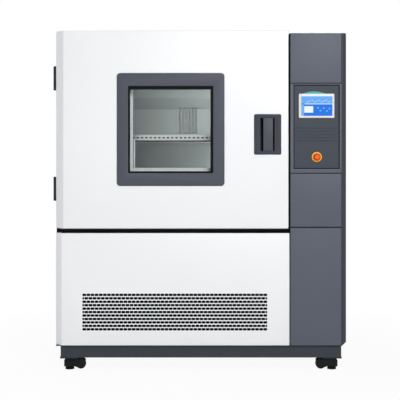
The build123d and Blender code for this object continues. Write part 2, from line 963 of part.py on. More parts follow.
def fan_motor():
    y = liner_back + rear_insulation
    body = rod(60, (fan_x, y + 8, fan_z), (0, 1, 0), 90)
    body += slab((fan_x - 75, fan_x + 75), (y, y + 8), (fan_z - 75, fan_z + 75))
    return body - rod(8 + running, (fan_x, y - 1, fan_z), (0, 1, 0), 40)


def heater():
    """Open heater elements across the air plenum, on two end brackets."""
    low_x = chamber_left + 60
    high_x = chamber_right - 60
    y = liner_back - 50
    pieces = []
    for x in (low_x, high_x):
        pieces.append(slab((x - 2, x + 2), (y - 30, liner_back), (chamber_top - 90, chamber_top - 20)))
    for row in range(3):
        pieces.append(rod(5, (low_x + 2, y, chamber_top - 75 + 20 * row), (1, 0, 0), high_x - low_x - 4))
    return pieces


def evaporator():
    low = chamber_bottom + 30
    x = (chamber_left + 80, chamber_right - 80)
    y = (liner_back - 80, liner_back)
    block = slab(x, y, (low, low + 200))
    for index in range(1, 14):
        cut = x[0] + (x[1] - x[0]) * index / 14
        block -= slab((cut - 12, cut + 12), (y[0] - 1, y[1] - 12), (low - 1, low + 201))
    return block


def compressor():
    pieces = []
    for x in (left_x + 280, left_x + 620):
        shell = rod(100, (x, 180, body_bottom + 20), (0, 0, 1), 270)
        shell = chamfer(shell.edges().filter_by(GeomType.CIRCLE), 24)
        feet = slab((x - 110, x + 110), (160, 200), (body_bottom, body_bottom + 20))
        pieces.append(shell + feet)
    return pieces


def condenser_place():
    return (left_x + 200, left_x + 760), (front_y + 140, front_y + 210), (body_bottom, body_bottom + 400)


def condenser():
    x, y, z = condenser_place()
    core = slab(x, y, z)
    shroud = slab(x, (y[1], y[1] + 60), z)
    shroud -= slab((x[0] + 3, x[1] - 3), (y[1] - 1, y[1] + 57), (z[0] + 3, z[1] - 3))
    middle_x = (x[0] + x[1]) / 2
    middle_z = (z[0] + z[1]) / 2
    shroud -= rod(160, (middle_x, y[1] + 50, middle_z), (0, 1, 0), 20)
    return [core, shroud]


def condenser_fan():
    x, y, z = condenser_place()
    centre = ((x[0] + x[1]) / 2, y[1] + 35, (z[0] + z[1]) / 2)
    fan = rod(35, centre, (0, 1, 0), 24)
    blade_x = (centre[0] + 20, centre[0] + 140)
    blade_z = (centre[2] - 28, centre[2] + 28)
    blade = slab(blade_x, (centre[1] + 10, centre[1] + 13), blade_z)
    blade = blade.rotate(Axis(centre, (1, 0, 0)), 20)
    for index in range(5):
        fan += blade.rotate(Axis(centre, (0, 1, 0)), 72 * index)
    return fan + rod(6, (centre[0], y[1] + clear, centre[2]), (0, 1, 0), 40)


def electrical_rack():
    low_x = column_x + sheet
    plate = slab((low_x, low_x + 3), (body_y + 100, rear_y - 100), (body_bottom + 150, control_bottom))
    for row in range(3):
        z = body_bottom + 220 + 200 * row
        plate += slab((low_x + 3, low_x + 90), (body_y + 140, rear_y - 160), (z, z + 110))
    return plate


def rear_fittings():
    """Drain stub, water inlet stub and cable gland on the rear panel."""
    places = ((left_x + 120, 10), (left_x + 120 + 80, 8), (column_x + 120, 14))
    z = body_bottom + 90
    pieces = []
    for x, radius in places:
        stub = rod(radius, (x, rear_y, z), (0, 1, 0), fitting_reach)
        stub += rod(radius + 8, (x, rear_y, z), (0, 1, 0), 6)
        pieces.append(stub - rod(radius * 0.6, (x, rear_y - 1, z), (0, 1, 0), fitting_reach + 2))
    return pieces


def caster_turn(shape, x, y, side):
    turn = 0 if side > 0 else 180
    return Pos(x, y, 0) * Rot(0, 0, turn) * shape


def caster_housing():
    """Cast body over the pad with cheeks beside it, forked round the wheel, and its pins."""
    top = caster_height - mount_thickness - clear
    half = housing_width / 2
    outer = -pad_radius - 4
    inner = wheel_trail + wheel_radius - 3
    fork_start = wheel_trail - wheel_radius - 3
    section = outline(
        (outer, 16),
        (fork_start, 16),
        (fork_start + 10, 12),
        (inner - 14, 12),
        (inner, 26),
        (inner, 46),
        (inner - 16, top),
        (outer + 8, top),
        (outer, top - 10),
    )
    plane = Plane(origin=(0, half, 0), x_dir=(1, 0, 0), z_dir=(0, -1, 0))
    body = extrude(plane * section, amount=housing_width)
    pad_room = (-half + cheek_inset, half - cheek_inset)
    body -= slab((outer - 1, fork_start - 4), pad_room, (0, housing_lift))
    fork = wheel_width / 2 + 1
    body -= slab((fork_start, inner + 1), (-fork, fork), (-1, 2 * wheel_radius + wheel_lift + 2))
    body -= rod(stem_radius + running, (0, 0, 0), (0, 0, 1), top - 1)
    body += rod(axle_radius, (wheel_trail, half, wheel_radius + wheel_lift), (0, -1, 0), housing_width)
    return body + rod(kingpin_radius, (0, 0, top), (0, 0, 1), mount_thickness)


def caster_wheel():
    middle = wheel_radius + wheel_lift
    wheel = rod(wheel_radius, (wheel_trail, wheel_width / 2, middle), (0, -1, 0), wheel_width)
    bore_start = (wheel_trail, wheel_width, middle)
    return wheel - rod(axle_radius + running, bore_start, (0, -1, 0), 2 * wheel_width)


def caster_pad():
    """Rubber pad, thumbwheel and screw."""
    pad = rod(pad_radius, (0, 0, 0), (0, 0, 1), pad_thickness)
    pad += rod(thumbwheel_radius, (0, 0, pad_thickness + 4), (0, 0, 1), 8)
    return pad + rod(stem_radius, (0, 0, 0), (0, 0, 1), stem_height)


def main():
    os.makedirs("parts", exist_ok=True)
    save("base_frame", *base_frame())
    save("cabinet_frame", *cabinet_frame())
    save("left_side_panel", left_side_panel())
    save("right_side_panel", right_side_panel())
    save("top_panel", top_panel())
    save("rear_panel", rear_panel())
    save("rear_grille", rear_grille())
    save("lower_front_panel", lower_front_panel())
    save("intake_filter", intake_filter())
    save("column_covers", *column_covers())
    save("column_partition", column_partition())
    save("control_panel_frame", control_panel_frame())
    save("control_panel_plate", control_panel_plate())
    save("touch_screen", *touch_screen())
    save("estop_collar", estop_collar())
    save("estop_stem", estop_stem())
    save("estop_head", estop_head())
    save("inner_liner", *inner_liner())
    save("insulation", insulation())
    save("front_trim", *front_trim())
    save("latch_keeper", latch_keeper())
    save("hinge_cabinet_leaves", *hinge_cabinet_leaves())
    save("hinge_door_leaves", *hinge_door_leaves())
    save("door_outer_skin", door_outer_skin())
    save("door_inner_skin", door_inner_skin())
    save("door_core", door_core())
    save("window_frame", window_frame())
    save("window_seal", window_seal())
    save("window_glass", *window_glass())
    save("window_tunnel", window_tunnel())
    save("door_gasket", door_gasket())
    save("handle_housing", handle_housing())
    save("handle_paddle", handle_paddle())
    save("latch_tongue", latch_tongue())
    save("duct_plate", duct_plate())
    save("shelf_rails", *shelf_rails())
    save("shelf", shelf())
    save("cable_port", cable_port())
    save("port_plug", port_plug())
    save("circulation_fan", circulation_fan())
    save("fan_motor", fan_motor())
    save("heater", *heater())
    save("evaporator", evaporator())
    save("compressor", *compressor())
    save("condenser", *condenser())
    save("condenser_fan", condenser_fan())
    save("electrical_rack", electrical_rack())
    save("rear_fittings", *rear_fittings())
    for place, (x, y, side) in caster_places().items():
        save(f"caster_housing_{place}", caster_turn(caster_housing(), x, y, side))
        save(f"caster_wheel_{place}", caster_turn(caster_wheel(), x, y, side))
        save(f"caster_pad_{place}", caster_turn(caster_pad(), x, y, side))


main()
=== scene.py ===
import bpy
import bmesh
import json
import math
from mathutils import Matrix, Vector


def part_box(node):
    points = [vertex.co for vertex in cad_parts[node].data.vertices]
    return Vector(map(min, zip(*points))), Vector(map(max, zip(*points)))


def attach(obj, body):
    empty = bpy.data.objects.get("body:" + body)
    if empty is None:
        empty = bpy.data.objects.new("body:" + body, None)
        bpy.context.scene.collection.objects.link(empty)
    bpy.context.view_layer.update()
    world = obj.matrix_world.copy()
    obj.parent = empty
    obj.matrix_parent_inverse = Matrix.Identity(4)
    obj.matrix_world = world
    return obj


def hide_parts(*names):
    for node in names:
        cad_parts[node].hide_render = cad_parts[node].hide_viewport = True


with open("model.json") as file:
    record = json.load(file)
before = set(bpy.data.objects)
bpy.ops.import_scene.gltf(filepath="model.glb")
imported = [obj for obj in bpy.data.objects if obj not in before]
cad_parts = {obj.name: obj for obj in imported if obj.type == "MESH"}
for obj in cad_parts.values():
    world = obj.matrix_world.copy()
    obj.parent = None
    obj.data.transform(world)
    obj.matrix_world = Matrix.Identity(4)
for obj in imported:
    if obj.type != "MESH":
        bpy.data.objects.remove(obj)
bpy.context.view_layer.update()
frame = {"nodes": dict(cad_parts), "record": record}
nodes = frame["nodes"]
mm = 0.001


# shader maths written as expressions
class Val:
    def __init__(self, tree, socket):
        self.tree = tree
        self.socket = socket

    def math(self, operation, other=None, clamp=False):
        n = self.tree.nodes.new("ShaderNodeMath")
        n.operation = operation
        n.use_clamp = clamp
        for index, value in enumerate((self, other)):
            if isinstance(value, Val):
                self.tree.links.new(value.socket, n.inputs[index])
            elif value is not None:
                n.inputs[index].default_value = value
        return Val(self.tree, n.outputs[0])

    def flipped(self, operation, other):
        n = self.tree.nodes.new("ShaderNodeMath")
        n.operation = operation
        n.inputs[0].default_value = other
        self.tree.links.new(self.socket, n.inputs[1])
        return Val(self.tree, n.outputs[0])

    def __add__(self, other):
        return self.math("ADD", other)

    __radd__ = __add__

    def __mul__(self, other):
        return self.math("MULTIPLY", other)

    __rmul__ = __mul__

    def __sub__(self, other):
        return self.math("SUBTRACT", other)

    def __rsub__(self, other):
        return self.flipped("SUBTRACT", other)

    def __truediv__(self, other):
        return self.math("DIVIDE", other)

    def clamped(self):
        return self.math("ADD", 0.0, clamp=True)


# a tree of shader nodes, where every node but the maths ones comes from add
class Shading:
    def __init__(self, tree):
        self.tree = tree

    def add(self, kind, settings=None, values=None):
        n = self.tree.nodes.new(kind)
        for key, value in (settings or {}).items():
            setattr(n, key, value)
        for key, value in (values or {}).items():
            self.put(n.inputs[key], value)
        return n

    def put(self, socket, value):
        if isinstance(value, Val):
            self.tree.links.new(value.socket, socket)
        elif isinstance(value, bpy.types.NodeSocket):
            self.tree.links.new(value, socket)
        else:
            socket.default_value = value

    def mixInto(self, output, factor, first, second):
        mixed = self.add("ShaderNodeMixShader", None, {0: factor, 1: first.outputs[0], 2: second.outputs[0]})
        self.put(self.tree.nodes[output].inputs[0], mixed.outputs[0])


# one material on a piece's own Object coordinates
class Finish(Shading):
    def __init__(self, name):
        self.mat = bpy.data.materials.new(name)
        self.mat.use_nodes = True
        super().__init__(self.mat.node_tree)
        self.shader = self.tree.nodes["Principled BSDF"]
        self.coords = self.add("ShaderNodeTexCoord")

    def stretched(self, scale):
        place = self.add("ShaderNodeMapping", None, {"Vector": self.coords.outputs["Object"], "Scale": scale})
        return place.outputs[0]

    def noise(self, scale, detail=3.0, stretch=(1, 1, 1), roughness=0.5):
        n = self.add("ShaderNodeTexNoise", None, {
            "Vector": self.stretched(stretch), "Scale": scale, "Detail": detail, "Roughness": roughness})
        return Val(self.tree, n.outputs[0])

    def axis(self, which):
        n = self.add("ShaderNodeSeparateXYZ", None, {0: self.coords.outputs["Object"]})
        return Val(self.tree, n.outputs[which])

    def blend(self, factor, first, second):
        n = self.add("ShaderNodeMix", {"data_type": "RGBA"}, {0: factor, 6: first, 7: second})
        return n.outputs[2]

    def bump(self, height, strength, distance):
        n = self.add("ShaderNodeBump", None, {"Height": height, "Strength": strength, "Distance": distance})
        self.put(self.shader.inputs["Normal"], n.outputs[0])

    def set(self, **values):
        for key, value in values.items():
            self.put(self.shader.inputs[key.replace("_", " ")], value)


def shade(colour, factor):
    return tuple(min(1, c * factor) for c in colour[:3]) + (1,)


coatLook = {"cloud": 1.6, "grain": 900.0, "grainDeep": 0.0004, "roughCloud": 0.06, "roughGrain": 0.05}


def powderCoat(name, colour, rough=0.42, grain=0.06, drift=0.04, shine=0.5):
    f = Finish(name)
    cloud = f.noise(coatLook["cloud"], 2.0)
    fine = f.noise(coatLook["grain"], 2.0)
    f.set(Base_Color=f.blend(cloud, shade(colour, 1 - drift), shade(colour, 1 + drift)))
    uneven = cloud * coatLook["roughCloud"] + fine * coatLook["roughGrain"]
    f.set(Roughness=rough - coatLook["roughGrain"] + uneven, Specular_IOR_Level=shine)
    f.bump(fine, grain, coatLook["grainDeep"])
    return f.mat


steelLook = {"streak": 14.0, "cloud": 3.0, "dark": 0.86, "light": 1.08, "roughStreak": 0.12,
             "roughCloud": 0.08}


def brushedSteel(name, colour, along=(1, 60, 60), rough=0.3):
    f = Finish(name)
    streak = f.noise(steelLook["streak"], 4.0, along, 0.7)
    cloud = f.noise(steelLook["cloud"])
    f.set(Base_Color=f.blend(streak, shade(colour, steelLook["dark"]), shade(colour, steelLook["light"])))
    f.set(Roughness=rough + streak * steelLook["roughStreak"] + cloud * steelLook["roughCloud"], Metallic=1.0)
    f.bump(streak, 0.08, 0.0003)
    return f.mat


roomLook = {"streak": 10.0, "stretch": (40, 40, 1), "cloud": 2.0, "dark": 0.88, "light": 1.1,
            "rough": 0.38, "roughCloud": 0.12, "metal": 0.35}


# sheet steel of the room, its grain upright
def roomSheet(name, colour):
    f = Finish(name)
    streak = f.noise(roomLook["streak"], 4.0, roomLook["stretch"], 0.6)
    cloud = f.noise(roomLook["cloud"])
    f.set(Base_Color=f.blend(streak, shade(colour, roomLook["dark"]), shade(colour, roomLook["light"])))
    f.set(Roughness=roomLook["rough"] + cloud * roomLook["roughCloud"], Metallic=roomLook["metal"])
    f.bump(streak, 0.05, 0.0003)
    return f.mat


mouldLook = {"grain": 1400.0, "cloud": 9.0, "dark": 0.93, "light": 1.07, "roughGrain": 0.08,
             "roughCloud": 0.05}


def moulded(name, colour, rough=0.45, grain=0.1, shine=0.5):
    f = Finish(name)
    fine = f.noise(mouldLook["grain"], 2.0)
    cloud = f.noise(mouldLook["cloud"])
    f.set(Base_Color=f.blend(cloud, shade(colour, mouldLook["dark"]), shade(colour, mouldLook["light"])))
    uneven = fine * mouldLook["roughGrain"] + cloud * mouldLook["roughCloud"]
    f.set(Roughness=rough + uneven, Specular_IOR_Level=shine)
    f.bump(fine, grain, 0.0003)
    return f.mat


foamLook = {"cell": 400.0, "cloud": 6.0, "dark": 0.85, "light": 1.05, "rough": 0.95, "shine": 0.02}


def foamBoard(name, colour):
    f = Finish(name)
    cell = f.add("ShaderNodeTexVoronoi", None, {
        "Vector": f.coords.outputs["Object"], "Scale": foamLook["cell"]})
    cloud = f.noise(foamLook["cloud"])
    f.set(Base_Color=f.blend(cloud, shade(colour, foamLook["dark"]), shade(colour, foamLook["light"])))
    f.set(Roughness=foamLook["rough"], Specular_IOR_Level=foamLook["shine"])
    f.bump(Val(f.tree, cell.outputs[0]), 0.5, 0.001)
    return f.mat


paneLook = {"tint": (0.972, 0.980, 0.978, 1), "gloss": 0.03, "ior": 1.35, "mirror": 0.7}


def clearPane(name):
    f = Finish(name)
    f.tree.nodes.remove(f.shader)
    clear = f.add("ShaderNodeBsdfTransparent", None, {"Color": paneLook["tint"]})
    gloss = f.add("ShaderNodeBsdfGlossy", None, {"Color": (1, 1, 1, 1), "Roughness": paneLook["gloss"]})
    edge = f.add("ShaderNodeFresnel", None, {"IOR": paneLook["ior"]})
    f.mixInto("Material Output", Val(f.tree, edge.outputs[0]) * paneLook["mirror"], clear, gloss)
    return f.mat


glowLook = {"lines": 2600.0, "ripple": 0.03, "unlit": 0.06, "rough": 0.3, "shine": 0.15, "strength": 1.0}


# lit area of a display with faint lines across it
def glow(name, colour):
    f = Finish(name)
    line = f.axis(2) * glowLook["lines"]
    wave = line.math("SINE") * glowLook["ripple"] + (1 - glowLook["ripple"])
    f.set(Base_Color=shade(colour, glowLook["unlit"]), Roughness=glowLook["rough"])
    f.set(Specular_IOR_Level=glowLook["shine"], Emission_Strength=glowLook["strength"])
    f.set(Emission_Color=f.blend(wave, (0, 0, 0, 1), shade(colour, 1)))
    return f.mat


plasticLook = {"tintGrain": 1200.0, "capGrain": 1400.0, "rough": 0.35, "roughGrain": 0.06, "shine": 0.2}


# colour that runs from the left to the right end
def tinted(name, first, second, low, high):
    f = Finish(name)
    reach = ((f.axis(0) - low) / (high - low)).clamped()
    fine = f.noise(plasticLook["tintGrain"])
    f.set(Base_Color=f.blend(reach, first + (1,), second + (1,)))
    f.set(Roughness=plasticLook["rough"] + fine * plasticLook["roughGrain"])
    return f.mat


pocketShadeLook = {"start": 0.0025, "fade": 400.0, "black": (0.002, 0.002, 0.003, 1), "drift": 0.05, "rough": 0.42,
              "shine": 0.2}


# paint with painted shade: it turns black a few millimetres below the face, standing in for the shadow inside
# the handle's pocket
def pocketShadePaint(name, colour, face):
    f = Finish(name)
    cloud = f.noise(coatLook["cloud"], 2.0)
    fine = f.noise(coatLook["grain"], 2.0)
    deep = ((f.axis(1) - (face + pocketShadeLook["start"])) * pocketShadeLook["fade"]).clamped()
    paint = f.blend(cloud, shade(colour, 1 - pocketShadeLook["drift"]), shade(colour, 1 + pocketShadeLook["drift"]))
    f.set(Base_Color=f.blend(deep, paint, pocketShadeLook["black"]))
    f.set(Roughness=pocketShadeLook["rough"] + fine * coatLook["roughGrain"])
    f.set(Specular_IOR_Level=pocketShadeLook["shine"])
    f.bump(fine, 0.1, coatLook["grainDeep"])
    return f.mat


# red cap with a painted highlight: lighter orange in its middle, deeper red towards its rim
def paintedHighlightCap(name, middle, rim, centre, radius):
    f = Finish(name)
    x = f.axis(0) - centre.x
    z = f.axis(2) - centre.z
    reach = ((x * x + z * z) / (radius * radius)).clamped()
    fine = f.noise(plasticLook["capGrain"], 2.0)
    f.set(Base_Color=f.blend(reach, middle + (1,), rim + (1,)))
    f.set(Roughness=plasticLook["rough"] + fine * plasticLook["roughGrain"])
    f.set(Specular_IOR_Level=plasticLook["shine"])
    f.bump(fine, 0.08, 0.0002)
    return f.mat


def middleOf(nodeName):
    low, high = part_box(nodeName)
    return (low + high) / 2


finishes = {
    "white_paint": powderCoat("whitePaint", (0.84, 0.845, 0.855), 0.38, 0.05, 0.012),
    "slate_paint": powderCoat("slatePaint", (0.092, 0.102, 0.131), 0.42, 0.1, 0.06, 0.25),
    "plinth_paint": powderCoat("plinthPaint", (0.034, 0.043, 0.052), 0.5, 0.1, 0.04, 0.25),
    "black_paint": powderCoat("blackPaint", (0.012, 0.012, 0.014), 0.45, 0.12),
    "stainless": brushedSteel("stainless", (0.60, 0.62, 0.60)),
    "frame_steel": powderCoat("frameSteel", (0.02, 0.022, 0.025), 0.6, 0.1),
    "cast_housing": powderCoat("castHousing", (0.004, 0.0042, 0.005), 0.5, 0.3, 0.04, 0.2),
    "black_rubber": moulded("blackRubber", (0.005, 0.0055, 0.006), 0.7, 0.2, 0.2),
    "grey_silicone": moulded("greySilicone", (0.62, 0.62, 0.58), 0.55, 0.1),
    "foam": foamBoard("foam", (0.80, 0.72, 0.48)),
    "glass": clearPane("clearPane"),
    "filter_foam": foamBoard("filterFoam", (0.004, 0.004, 0.005)),
    "bezel_plastic": moulded("bezelPlastic", (0.72, 0.69, 0.64), 0.4),
    "yellow_plastic": moulded("yellowPlastic", (1.0, 0.50, 0.035), 0.35, 0.1, 0.25),
    "red_plastic": moulded("redPlastic", (0.80, 0.055, 0.008), 0.35, 0.1, 0.25),
    "black_plastic": moulded("blackPlastic", (0.044, 0.052, 0.069), 0.45, 0.1, 0.25),
    "wheel_nylon": moulded("wheelNylon", (0.005, 0.005, 0.006), 0.5, 0.1, 0.2),
    "aluminium": brushedSteel("millAluminium", (0.72, 0.73, 0.74), (40, 1, 40), 0.35),
    "motor_paint": powderCoat("motorPaint", (0.03, 0.035, 0.045), 0.5),
    "brass": brushedSteel("brass", (0.72, 0.55, 0.28), (30, 1, 30), 0.3),
    "frameSlate": powderCoat("frameSlate", (0.066, 0.073, 0.093), 0.42, 0.1, 0.05, 0.25),
    # handle housing and paddle: the black deep in the pocket is painted shade
    "handleSlate": pocketShadePaint("handleSlate", (0.040, 0.044, 0.060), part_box("handle_housing")[0].y),
    "paddleSlate": pocketShadePaint("paddleSlate", (0.072, 0.077, 0.096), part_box("handle_paddle")[0].y),
    # stop head: its lighter orange middle is a painted highlight
    "stopRed": paintedHighlightCap("stopRed", (0.86, 0.15, 0.008), (0.62, 0.020, 0.004), middleOf("estop_head"), 0.015),
    # darker slate for the side sheet rolled round the column's corner: painted shade on the side turned away
    # from the front
    "shadedSideSlate": powderCoat("shadedSideSlate", (0.037, 0.045, 0.059), 0.45, 0.1, 0.05, 0.25),
    # chamber steel: the first is its own colour; the darker copy for the liner is painted shade, the lighter
    # copies for the shelf and the window trim are painted light
    "roomSteel": roomSheet("roomSteel", (0.40, 0.43, 0.425)),
    "shadedLinerSteel": roomSheet("shadedLinerSteel", (0.30, 0.325, 0.32)),
    "litShelfSteel": roomSheet("litShelfSteel", (0.56, 0.59, 0.58)),
    "litTrimSteel": roomSheet("litTrimSteel", (0.80, 0.83, 0.82)),
    "tealStrip": tinted("tealStrip", (0.01, 0.34, 0.46), (0.01, 0.36, 0.24), 0.50, 0.62),
}
# the column partition gets black rubber as painted shadow in the slit between the door and the column
nodeFinish = {"inner_liner": "shadedLinerSteel", "duct_plate": "roomSteel", "shelf_rails": "roomSteel",
              "shelf": "litShelfSteel", "window_tunnel": "litTrimSteel", "column_partition": "black_rubber"}
slotOf = {s["node"]: s["material_slot"] for s in frame["record"]["subparts"]}
for nodeName, obj in nodes.items():
    obj.data.materials.clear()
    obj.data.materials.append(finishes[nodeFinish.get(nodeName, slotOf[nodeName])])
print("materials on", len(nodes), "frame nodes")


# modelling helpers
def only(obj):
    if bpy.context.object and bpy.context.object.mode != "OBJECT":
        bpy.ops.object.mode_set(mode="OBJECT")
    bpy.ops.object.select_all(action="DESELECT")
    obj.select_set(True)
    bpy.context.view_layer.objects.active = obj


def settle():
    bpy.ops.object.transform_apply(location=True, rotation=True, scale=True)
    return bpy.context.object


def block(name, low, high):
    bpy.ops.object.select_all(action="DESELECT")
    middle = [(a + b) / 2 for a, b in zip(low, high)]
    bpy.ops.mesh.primitive_cube_add(size=1, location=middle)
    obj = bpy.context.object
    obj.scale = [b - a for a, b in zip(low, high)]
    obj.name = name
    return settle()


through = 0.01  # how far a cutting tool reaches past a sheet
turns = {"X": (0, math.pi / 2, 0), "Y": (math.pi / 2, 0, 0), "Z": (0, 0, 0)}


def drum(name, centre, radius, depth, axis="Y", count=48):
    bpy.ops.object.select_all(action="DESELECT")
    bpy.ops.mesh.primitive_cylinder_add(
        vertices=count, radius=radius, depth=depth, location=centre, rotation=turns[axis])
    bpy.context.object.name = name
    return settle()


# bevels the edges whose two ends pass the test
def roundEdges(obj, width, segments, pick):
    only(obj)
    bpy.ops.object.mode_set(mode="EDIT")
    bpy.ops.mesh.select_mode(type="EDGE")
    bpy.ops.mesh.select_all(action="DESELECT")
    bm = bmesh.from_edit_mesh(obj.data)
    for edge in bm.edges:
        edge.select = pick(edge.verts[0].co, edge.verts[1].co)
    bmesh.update_edit_mesh(obj.data)
    bpy.ops.mesh.bevel(offset=width, segments=segments, affect="EDGES")
    bpy.ops.object.mode_set(mode="OBJECT")


def along(axis):
    return lambda a, b: abs((a - b).normalized()[axis]) > 0.99


def modify(obj, kind, **settings):
    only(obj)
    m = obj.modifiers.new(kind, kind)
    for key, value in settings.items():
        setattr(m, key, value)
    bpy.ops.object.modifier_apply(modifier=m.name)
    return obj


def repeated(obj, count, step):
    return modify(obj, "ARRAY", count=count, use_relative_offset=False, use_constant_offset=True,
                  constant_offset_displace=step)


def cut(obj, tool):
    modify(obj, "BOOLEAN", operation="DIFFERENCE", object=tool, solver="EXACT")
    bpy.data.objects.remove(tool)
    return obj


def soften(obj, width, segments=2, angle=32):
    modify(obj, "BEVEL", width=width, segments=segments, limit_method="ANGLE",
           angle_limit=math.radians(angle), use_clamp_overlap=True)
    smooth(obj)
    return obj


def smooth(obj, angle=35):
    only(obj)
    bpy.ops.object.shade_smooth_by_angle(angle=math.radians(angle))


def joined(name, *objs):
    only(objs[0])
    for obj in objs:
        obj.select_set(True)
    bpy.ops.object.join()
    bpy.context.object.name = name
    return bpy.context.object


def finishPiece(obj, finish, body, replaced=()):
    obj.data.materials.clear()
    obj.data.materials.append(finishes[finish])
    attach(obj, body)
    if replaced:
        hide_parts(*replaced)
    return obj


# copy of a frame node with its doubles merged and its edges rounded
def refined(nodeName, width, body, finish=None):
    source = nodes[nodeName]
    only(source)
    obj = bpy.data.objects.new("fine_" + nodeName, source.data.copy())
    bpy.context.scene.collection.objects.link(obj)
    obj.matrix_world = source.matrix_world.copy()
    only(obj)
    bpy.ops.object.transform_apply(location=True, rotation=True, scale=True)
    bpy.ops.object.mode_set(mode="EDIT")
    bpy.ops.mesh.select_all(action="SELECT")
    bpy.ops.mesh.remove_doubles(threshold=0.02 * mm)
    bpy.ops.mesh.dissolve_limited(angle_limit=math.radians(1.0))
    bpy.ops.object.mode_set(mode="OBJECT")
    soften(obj, width, 2, 30)
    finishPiece(obj, finish or slotOf[nodeName], body, (nodeName,))


# picks the upright edge at the left front corner
def leftFront(low):
    upright = along(2)
    return lambda a, b: upright(a, b) and a.x < low[0] + mm and a.y < low[1] + mm


# front with a bevelled left side, open at the back
def bevelledShell(name, low, high, bevel, wall, edge):
    obj = block(name, low, high)
    roundEdges(obj, bevel, 1, leftFront(low))
    roundEdges(obj, edge, 3, lambda a, b: min(a.y, b.y) < high[1] - mm)
    inner = (low[0] + wall, low[1] + wall, low[2] + wall)
    tool = block("tool", inner, (high[0] - wall, high[1] + 5 * through, high[2] - wall))
    roundEdges(tool, bevel, 1, leftFront(inner))
    return cut(obj, tool)


doorCut = {"edge": 0.0028, "bevel": 0.040, "wall": 0.002,
           "handleLeft": 0.017, "handleRight": 0.010, "handleSlack": 0.0002}


def doorShell():
    low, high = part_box("door_outer_skin")
    obj = bevelledShell("doorShell", low, high, doorCut["bevel"], doorCut["wall"], doorCut["edge"])
    y = (low.y - through, low.y + through)
    tunnelLow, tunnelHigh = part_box("window_tunnel")
    cut(obj, block("tool", (tunnelLow.x, y[0], tunnelLow.z), (tunnelHigh.x, y[1], tunnelHigh.z)))
    paddleLow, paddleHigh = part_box("handle_paddle")
    slack = doorCut["handleSlack"]
    cut(obj, block("tool", (paddleLow.x - doorCut["handleLeft"], y[0], paddleLow.z - slack),
                   (paddleHigh.x + doorCut["handleRight"], y[1], paddleHigh.z + slack)))
    smooth(obj, 30)
    finishPiece(obj, "white_paint", "door", replaced=("door_outer_skin",))


ventCut = {"bevel": 0.032, "left": 0.134, "right": 0.110, "bottom": 0.080, "columns": 45, "rows": 6,
           "pitchZ": 0.017, "slotX": 0.0189, "slotZ": 0.0126, "round": 0.0038}


# lower panel with rows of slots, every second row shifted by half a slot and filled up at its ends
def ventPanel():
    low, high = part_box("lower_front_panel")
    obj = bevelledShell("ventPanel", low, high, ventCut["bevel"], doorCut["wall"], doorCut["edge"])
    left = low.x + ventCut["left"]
    right = high.x - ventCut["right"]
    slotX = ventCut["slotX"]
    halfZ = ventCut["slotZ"] / 2
    columns = ventCut["columns"]
    rows = ventCut["rows"]
    pitch = (right - left - slotX) / (columns - 1)
    first = left + slotX / 2
    half = slotX - pitch / 2
    slots = []
    for x, wide, count, step, row, rowCount in (
            (first, slotX, columns, pitch, 0, rows),
            (first + pitch / 2, slotX, columns - 1, pitch, 1, rows - 1),
            (left + half / 2, half, 2, right - left - half, 1, rows - 1)):
        z = low.z + ventCut["bottom"] + row * ventCut["pitchZ"]
        slot = block("slot", (x - wide / 2, low.y - through / 2, z - halfZ),
                     (x + wide / 2, low.y + 3 * doorCut["wall"], z + halfZ))
        roundEdges(slot, min(ventCut["round"], wide * 0.45), 3, along(1))
        repeated(slot, count, (step, 0, 0))
        repeated(slot, rowCount, (0, 0, 2 * ventCut["pitchZ"]))
        slots.append(slot)
    cut(obj, joined("slots", *slots))
    smooth(obj, 30)
    finishPiece(obj, "white_paint", "cabinet", replaced=("lower_front_panel",))


columnCut = {"roll": 0.0238, "topRoll": 0.010, "cutX": 0.022, "cutY": 0.067, "frontWall": 0.024,
             "wall": 0.002, "tool": 0.2}
serviceCut = {"front": 0.127, "rear": 0.080, "bottom": 0.111, "top": 0.851, "wide": 0.0022, "deep": 0.0012,
              "inset": 0.03, "screws": 3, "hole": 0.0052, "holeDeep": 0.0032, "sunk": 0.0013}


# y and z limits of the removable cover in the right side
def serviceCover():
    low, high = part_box("right_side_panel")
    y = (low.y + serviceCut["front"], high.y - serviceCut["rear"])
    return y, (low.z + serviceCut["bottom"], low.z + serviceCut["top"])


